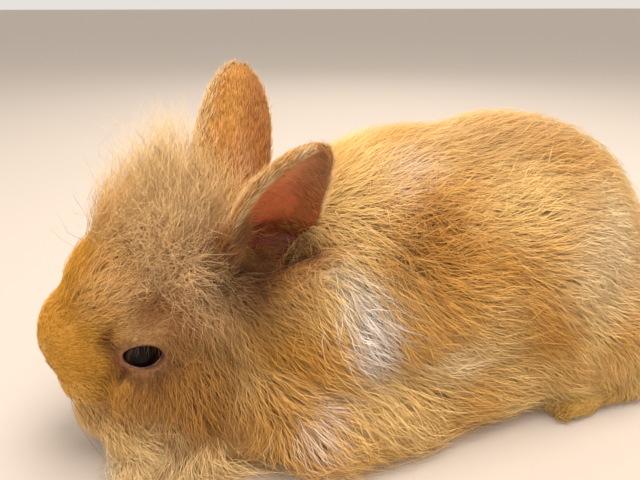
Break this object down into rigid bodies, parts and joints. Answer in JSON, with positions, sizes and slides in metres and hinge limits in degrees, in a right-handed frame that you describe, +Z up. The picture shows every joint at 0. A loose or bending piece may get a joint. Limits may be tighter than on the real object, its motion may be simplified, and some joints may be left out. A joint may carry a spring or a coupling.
{
  "type": "lionhead-type rabbit kit, crouched, as a still museum model",
  "caption": "Life-size still model of a young long-maned rabbit crouching on the floor with its ears up.",
  "frame": {"origin": "on the floor, under the middle of the model's box", "axes": "+X towards the tail, -X the way the rabbit faces, -Y its left side, +Z up"},
  "size_m": [0.256, 0.1014, 0.1197],
  "materials": {
    "coat": "soft golden fawn fur, matt",
    "ear_fur": "short velvety fur, pink and nearly bare inside",
    "paw_fur": "short dense fur, yellowed underneath",
    "eye": "wet gloss, near black"
  },
  "bodies": {
    "root": {"head": "coat", "neck": "coat", "torso": "coat", "tail": "coat", "thigh_left": "coat", "thigh_right": "coat", "foreleg_left": "coat", "foreleg_right": "coat", "forepaw_left": "paw_fur", "forepaw_right": "paw_fur", "hind_foot_left": "paw_fur", "hind_foot_right": "paw_fur", "ear_left": "ear_fur", "ear_right": "ear_fur", "eye_left": "eye", "eye_right": "eye"}
  },
  "joints": []
}
